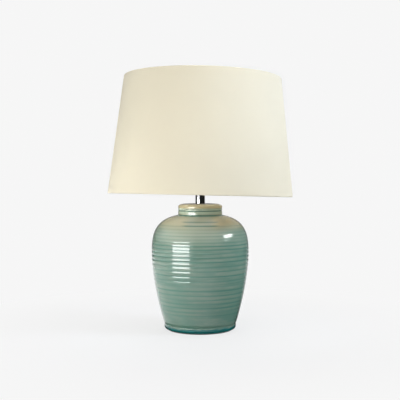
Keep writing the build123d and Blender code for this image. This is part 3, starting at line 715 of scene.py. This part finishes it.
# ---------------------------------------------------------------- shade cloth
# One piece of cream plain-weave cotton, bonded to the liner, lapped in a glued seam at the back
# and rolled over both hoops. The shade sits a little aslant on its seat.
CLOTH_COLOUR = (0.795, 0.732, 0.560)
SHADE_HEIGHT = 0.2226
SHADE_BOTTOM_RADIUS = 0.1750
SHADE_TOP_RADIUS = 0.1490
SHADE_RECESS = 0.0380
CLOTH = 0.0006
HEM_ROLL = 0.0014
HEM_HEIGHT = 0.0080
HEM_REACH = 0.0054
CONE_LEVELS = 30
SHADE_STEPS = 240

taper = (SHADE_BOTTOM_RADIUS - SHADE_TOP_RADIUS) / SHADE_HEIGHT
low_h = -SHADE_RECESS
high_h = low_h + SHADE_HEIGHT


def shade_radius(h):
    """Outer radius of the shade at height h above its gallery."""
    return SHADE_BOTTOM_RADIUS - taper * (h - low_h)


cloth_outline = []
for step in range(CONE_LEVELS + 1):
    h = low_h + HEM_ROLL + (SHADE_HEIGHT - 2 * HEM_ROLL) * step / CONE_LEVELS
    cloth_outline.append((shade_radius(h), h))
cloth_outline += arc((shade_radius(high_h) - HEM_ROLL, high_h - HEM_ROLL), HEM_ROLL, 5, 90, 5)
cloth_outline += [
    (SHADE_TOP_RADIUS - HEM_REACH, high_h),
    (SHADE_TOP_RADIUS - HEM_REACH - CLOTH, high_h - CLOTH),
    (SHADE_TOP_RADIUS - HEM_REACH - CLOTH, high_h - HEM_HEIGHT),
    (SHADE_TOP_RADIUS - HEM_REACH, high_h - HEM_HEIGHT),
    (SHADE_TOP_RADIUS - HEM_REACH, high_h - CLOTH),
    (SHADE_TOP_RADIUS - HEM_ROLL, high_h - CLOTH),
]
for step in range(CONE_LEVELS + 1):
    h = high_h - HEM_ROLL - (SHADE_HEIGHT - 2 * HEM_ROLL) * step / CONE_LEVELS
    cloth_outline.append((shade_radius(h) - CLOTH, h))
cloth_outline += [
    (SHADE_BOTTOM_RADIUS - HEM_ROLL, low_h + CLOTH),
    (SHADE_BOTTOM_RADIUS - HEM_REACH, low_h + CLOTH),
    (SHADE_BOTTOM_RADIUS - HEM_REACH, low_h + HEM_HEIGHT),
    (SHADE_BOTTOM_RADIUS - HEM_REACH - CLOTH, low_h + HEM_HEIGHT),
    (SHADE_BOTTOM_RADIUS - HEM_REACH - CLOTH, low_h + CLOTH),
    (SHADE_BOTTOM_RADIUS - HEM_REACH, low_h),
]
cloth_outline += arc((shade_radius(low_h) - HEM_ROLL, low_h + HEM_ROLL), HEM_ROLL, -90, -5, 5)
cloth = turn_piece("shade_cloth", cloth_outline, SHADE_STEPS)

# Thread-true coordinates for the weave: metres round the cone and metres up it. The cloth's two
# ends meet at the back.
weave_map = cloth.data.uv_layers.new(name="weave")
for polygon in cloth.data.polygons:
    corners = [cloth.data.vertices[index].co for index in polygon.vertices]
    turns = [math.atan2(corner.x, -corner.y) for corner in corners]
    crosses_back = max(turns) - min(turns) > math.pi
    for loop_index, corner, turn in zip(polygon.loop_indices, corners, turns):
        if crosses_back and turn < 0:
            turn += 2 * math.pi
        weave_map.data[loop_index].uv = (turn * SHADE_BOTTOM_RADIUS, corner.z)

# The seam, where one end is glued over the other, shows as a narrow strip that is pressed in.
SEAM_WIDTH = 0.012
SEAM_DEPTH = 0.0004
for vertex in cloth.data.vertices:
    radius = math.hypot(vertex.co.x, vertex.co.y)
    off_seam = abs(math.atan2(vertex.co.x, vertex.co.y)) * radius
    if off_seam < SEAM_WIDTH / 2 and radius > shade_radius(vertex.co.z) - CLOTH / 2:
        vertex.co.x *= (radius - SEAM_DEPTH) / radius
        vertex.co.y *= (radius - SEAM_DEPTH) / radius

shade_turn = next(joint for joint in frame["joints"] if joint["name"] == "shade_turn")
lean_axis = Vector(shade_turn["axis"])
lean = Vector((0, 0, 1)).rotation_difference(lean_axis).to_matrix().to_4x4()
cloth.data.transform(Matrix.Translation(Vector(shade_turn["pos_m"])) @ lean)

fabric, tree, shader = new_finish("cream_cloth", CLOTH_COLOUR, 0.85)
THREAD_PITCH = 0.00062
WAVE_AT_SCALE_ONE = 0.314


def threads(place, direction):
    """Soft waves of thread across one direction of the cloth."""
    tree = place.id_data
    wave = add_node(
        tree, "ShaderNodeTexWave", wave_type="BANDS", bands_direction=direction, wave_profile="SIN",
        Scale=WAVE_AT_SCALE_ONE / THREAD_PITCH, Distortion=0.6, Detail=2.0,
    )
    tree.links.new(place, wave.inputs["Vector"])
    return wave.outputs["Fac"]


on_cloth = add_node(tree, "ShaderNodeUVMap", uv_map="weave").outputs["UV"]
weave = combine(threads(on_cloth, "X"), threads(on_cloth, "Y"), "ADD")
slub = add_noise(tree, 90, detail=5, coordinate="UV", stretch=(1, 8, 1))
fold = add_noise(tree, 9, detail=2)
tone = mix(shade_of(CLOTH_COLOUR, 0.955), shade_of(CLOTH_COLOUR, 1.02), measure(weave, 0.3, 1.7))
tone = mix(tone, shade_of(CLOTH_COLOUR, 0.93), measure(slub, 0.45, 0.75, 0.0, 0.5))
tone = mix(tone, shade_of(CLOTH_COLOUR, 1.03), measure(fold, 0.35, 0.65, 0.0, 0.6))
tree.links.new(tone, shader.inputs["Base Color"])
add_bump(tree, shader, weave, 0.35, 0.00025)
shader.inputs["Sheen Weight"].default_value = 0.15
shader.inputs["Sheen Roughness"].default_value = 0.5
dress(cloth, fabric, "shade", "cream_cloth", "shade_fabric")

# ---------------------------------------------------------------- floor and backdrop
# A pale seamless sweep. Near the lamp it takes the lamp's soft shadow, and further off it is as
# even as the backdrop.
BACKDROP = (0.923, 0.923, 0.923, 1)
FLOOR_RADIUS = 30.0
FLOOR_GLOW = 0.72
FLOOR_GREY = (0.18, 0.18, 0.18, 1)
FLOOR_BOUNCE = (0.6, 0.6, 0.6, 1)
SHADOW_REACH = (0.16, 0.55)
WHITE = (1, 1, 1, 1)
bpy.ops.object.select_all(action="DESELECT")
bpy.ops.mesh.primitive_circle_add(vertices=96, radius=FLOOR_RADIUS, fill_type="NGON", location=(0, 0, 0))
floor = bpy.context.object
floor.name = "floor"
sweep = bpy.data.materials.new("sweep")
sweep.use_nodes = True
tree = sweep.node_tree
tree.nodes.remove(tree.nodes["Principled BSDF"])


def join_shaders(kind, *sources):
    """A node that mixes or adds shaders; a mix takes its share first."""
    tree = sources[0].id_data
    node = tree.nodes.new(kind)
    for source, entry in zip(sources, node.inputs):
        tree.links.new(source, entry)
    return node.outputs["Shader"]


def looked_at(tree):
    """1 for what the camera sees, directly, mirrored or through glass, and 0 for the light it gives."""
    path = tree.nodes.new("ShaderNodeLightPath")
    seen = combine(path.outputs["Is Camera Ray"], path.outputs["Is Glossy Ray"], "MAXIMUM")
    return combine(seen, path.outputs["Is Transmission Ray"], "MAXIMUM")


plain = add_node(tree, "ShaderNodeEmission", Color=BACKDROP, Strength=1.0)
glow = add_node(tree, "ShaderNodeEmission", Color=WHITE, Strength=FLOOR_GLOW)
paper = add_node(tree, "ShaderNodeBsdfDiffuse", Color=FLOOR_GREY)
bounce = add_node(tree, "ShaderNodeBsdfDiffuse", Color=FLOOR_BOUNCE)
shadowed = join_shaders("ShaderNodeAddShader", glow.outputs[0], paper.outputs[0])
place = tree.nodes.new("ShaderNodeTexCoord")
reach = add_node(tree, "ShaderNodeVectorMath", operation="LENGTH")
tree.links.new(place.outputs["Object"], reach.inputs[0])
far = measure(reach.outputs["Value"], *SHADOW_REACH)
shown = join_shaders("ShaderNodeMixShader", far, shadowed, plain.outputs[0])
chosen = join_shaders("ShaderNodeMixShader", looked_at(tree), bounce.outputs[0], shown)
tree.links.new(chosen, tree.nodes["Material Output"].inputs["Surface"])
floor.data.materials.append(sweep)

# The room gives a weak even light, and shows the backdrop's grey wherever it is looked at.
AMBIENT = 0.25
world = bpy.data.worlds.new("studio")
bpy.context.scene.world = world
world.use_nodes = True
tree = world.node_tree
room = tree.nodes["Background"]
room.inputs["Color"].default_value = WHITE
room.inputs["Strength"].default_value = AMBIENT
backdrop = add_node(tree, "ShaderNodeBackground", Color=BACKDROP, Strength=1.0)
chosen = join_shaders("ShaderNodeMixShader", looked_at(tree), room.outputs[0], backdrop.outputs[0])
tree.links.new(chosen, tree.nodes["World Output"].inputs["Surface"])

# ---------------------------------------------------------------- lights
# Soft lamps stand low at the left and in front, overhead, high at the right and behind. Those with
# a grid light only the jar or only the shade. None of these shows as a reflection.
WHOLE_LAMP = (Vector((0, 0, 0.22)), 180)
JAR_ONLY = (Vector((0, 0, 0.11)), 60)
SHADE_ONLY = (Vector((0, 0, 0.40)), 50)
NEUTRAL = (1, 1, 1)
COOL = (0.74, 0.83, 1.0)
BIG = (1.00, 0.80)


def softbox(name, azimuth, elevation, distance, size, power, aim=WHOLE_LAMP, colour=NEUTRAL):
    """A soft lamp at an azimuth from the camera's side, positive to the right, turned to its aim.

    The aim is a point and the spread of the lamp's grid in degrees.
    """
    light = bpy.data.lights.new(name, "AREA")
    light.shape = "RECTANGLE"
    light.size, light.size_y = size
    light.energy = power
    light.color = colour
    light.spread = math.radians(aim[1])
    lamp = bpy.data.objects.new(name, light)
    around, up = math.radians(azimuth), math.radians(elevation)
    direction = Vector((math.sin(around) * math.cos(up), -math.cos(around) * math.cos(up), math.sin(up)))
    lamp.location = aim[0] + distance * direction
    lamp.rotation_euler = (-direction).to_track_quat("-Z", "Y").to_euler()
    bpy.context.scene.collection.objects.link(lamp)
    return lamp


for lamp in (
    softbox("key_left", -45, 8, 1.8, BIG, 9),
    softbox("fill_front", -20, 8, 1.8, BIG, 1.7),
    softbox("overhead", 0, 75, 1.8, BIG, 8.4),
    softbox("high_right", 66, 46, 1.8, BIG, 2.6),
    softbox("jar_left", -70, 2, 0.9, (0.60, 0.14), 0.46, JAR_ONLY),
    softbox("jar_right", 100, 4, 0.9, (0.40, 0.14), 0.20, JAR_ONLY),
    softbox("shade_right", 74, 24, 1.6, (0.50, 0.30), 1.8, SHADE_ONLY, COOL),
    softbox("shade_front", -10, 24, 1.6, (0.50, 0.30), 0.38, SHADE_ONLY),
    softbox("back_left", -166, 25, 1.8, BIG, 8),
    softbox("back_right", 165, 25, 1.8, BIG, 8),
):
    lamp.visible_glossy = False
# Two more show only as the highlights that they leave in the glaze and the chrome.
gleam_left = softbox("gleam_left", -43.5, -9, 0.65, (0.47, 0.22), 3.2)
gleam_left.visible_diffuse = False
gleam_left.visible_camera = False
softbox("gleam_right", 75, 22, 1.2, (0.56, 0.095), 3.4).visible_diffuse = False

# Black cards stand in front, at the right and low at the left, a grey one stands behind, and black
# ones lie on the floor at the right and round the foot. Only reflections show them, with the pale
# room between them, and they fade out at their ends.
CARD_RADIUS = 1.35
CARD_STEP = 0.01
CARD_HEIGHT = 1.0
CARD_LIFT = 0.0006
FOOT_CARD = (0.0640, 0.0860)
BLACK = (0.010, 0.010, 0.010)
GREY = (0.20, 0.20, 0.20)


def off_middle(point, middle):
    """Degrees round the lamp from an azimuth to a point, either way."""
    azimuth = math.degrees(math.atan2(point.x, -point.y))
    return abs((azimuth - middle + 180) % 360 - 180)


def cut_card(name, outline, middle, reach):
    """A card that only reflections see, turned about the lamp to a reach on each side of an azimuth."""
    card = turn_piece(name, outline, 180, closed=False)
    bpy.ops.object.mode_set(mode="EDIT")
    bpy.ops.mesh.select_all(action="DESELECT")
    bpy.ops.object.mode_set(mode="OBJECT")
    for polygon in card.data.polygons:
        polygon.select = off_middle(polygon.center, middle) > reach
    bpy.ops.object.mode_set(mode="EDIT")
    bpy.ops.mesh.delete(type="FACE")
    bpy.ops.object.mode_set(mode="OBJECT")
    for ray in ("camera", "diffuse", "transmission", "volume_scatter", "shadow"):
        setattr(card, "visible_" + ray, False)
    return card


def standing(step, low=0.0, high=CARD_HEIGHT):
    """Outline of a standing card, a few steps outside the first."""
    return [(CARD_RADIUS + step * CARD_STEP, low), (CARD_RADIUS + step * CARD_STEP, high)]


# Each card's middle is an azimuth; its reach either way and the ramp that it fades over follow, all
# in degrees.
for name, outline, middle, reach, ramp, colour in (
    ("card_front", standing(0), 5, 23, 4, BLACK),
    ("card_right", standing(1), 70, 70, 20, BLACK),
    ("card_left", standing(2, 0.14, 0.32), 248, 36, 12, BLACK),
    ("card_back", standing(3), 170, 80, 25, GREY),
    ("card_floor", [(FOOT_CARD[1], CARD_LIFT), (CARD_RADIUS, CARD_LIFT)], 91, 89, 64, BLACK),
    ("card_foot", [(FOOT_CARD[0], CARD_LIFT), (FOOT_CARD[1], CARD_LIFT)], 0, 181, 0.5, BLACK),
):
    card_finish, tree, shader = new_finish(name + "_finish", colour, 0.9)
    across, behind, _ = object_place(tree)
    turn = combine(across, multiply(behind, -1.0), "ARCTAN2")
    facing = combine(combine(turn, math.radians(middle), "SUBTRACT"), 0.0, "COSINE")
    off = combine(facing, 0.0, "ARCCOSINE")
    share = measure(off, math.radians(reach), math.radians(reach - ramp))
    clear = tree.nodes.new("ShaderNodeBsdfTransparent")
    faded = join_shaders("ShaderNodeMixShader", share, clear.outputs[0], shader.outputs[0])
    tree.links.new(faded, tree.nodes["Material Output"].inputs["Surface"])
    cut_card(name, outline, middle, reach).data.materials.append(card_finish)

# ---------------------------------------------------------------- camera
# The camera stands as high above the table and as far off as the photographer's did, and is
# tipped a little down.
PHOTO_PIXELS = 400
FOCAL_PIXELS = 780
CAMERA_PLACE = Vector((0, -1.484, 0.2873))
CAMERA_AIM = Vector((-0.0003, 0, 0.2455))
view = bpy.data.cameras.new("camera")
view.sensor_width = 36
view.lens = FOCAL_PIXELS / PHOTO_PIXELS * view.sensor_width
camera = bpy.data.objects.new("camera", view)
camera.location = CAMERA_PLACE
camera.rotation_euler = (CAMERA_AIM - CAMERA_PLACE).to_track_quat("-Z", "Y").to_euler()
bpy.context.scene.collection.objects.link(camera)
bpy.context.scene.camera = camera
bpy.context.scene.view_settings.view_transform = "Standard"
